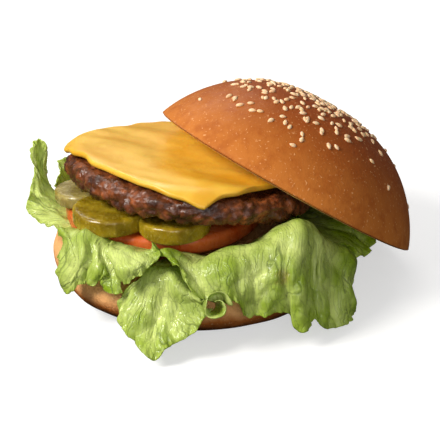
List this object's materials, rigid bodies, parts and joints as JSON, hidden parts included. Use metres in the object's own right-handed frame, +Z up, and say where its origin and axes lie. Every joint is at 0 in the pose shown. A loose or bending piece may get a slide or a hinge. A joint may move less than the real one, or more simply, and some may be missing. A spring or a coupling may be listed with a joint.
{
  "type": "cheeseburger",
  "caption": "Cheeseburger with a seeded bun, its domed top leaning off a stack of cheese, beef patty, pickles, tomato and ruffled lettuce on the bottom bun.",
  "frame": {"origin": "centre of the heel's flat base, on the surface the burger rests on", "axes": "+Z up, +X to the viewer's right, +Y away from the viewer"},
  "size_m": [0.1394, 0.1333, 0.0722],
  "materials": {
    "crust": "satin baked crust, orange brown with pale seeds",
    "cheese": "soft waxy yellow cheese",
    "patty": "craggy grilled beef with greasy glints",
    "pickle": "wet translucent olive pickle",
    "tomato": "wet red orange tomato",
    "lettuce": "thin veined pale green leaf",
    "heel_crust": "baked crust, paler at the shoulder"
  },
  "bodies": {
    "root": {"crown": "crust", "cheese": "cheese", "patty": "patty", "pickle_left": "pickle", "pickle_front": "pickle", "pickle_pale": "pickle", "pickle_back": "pickle", "tomato": "tomato", "lettuce_front": "lettuce", "lettuce_left": "lettuce", "lettuce_right": "lettuce", "lettuce_curl": "lettuce", "lettuce_frill": "lettuce", "lettuce_shade": "lettuce", "lettuce_back_right": "lettuce", "lettuce_back": "lettuce", "lettuce_back_left": "lettuce", "heel": "heel_crust"}
  },
  "joints": []
}
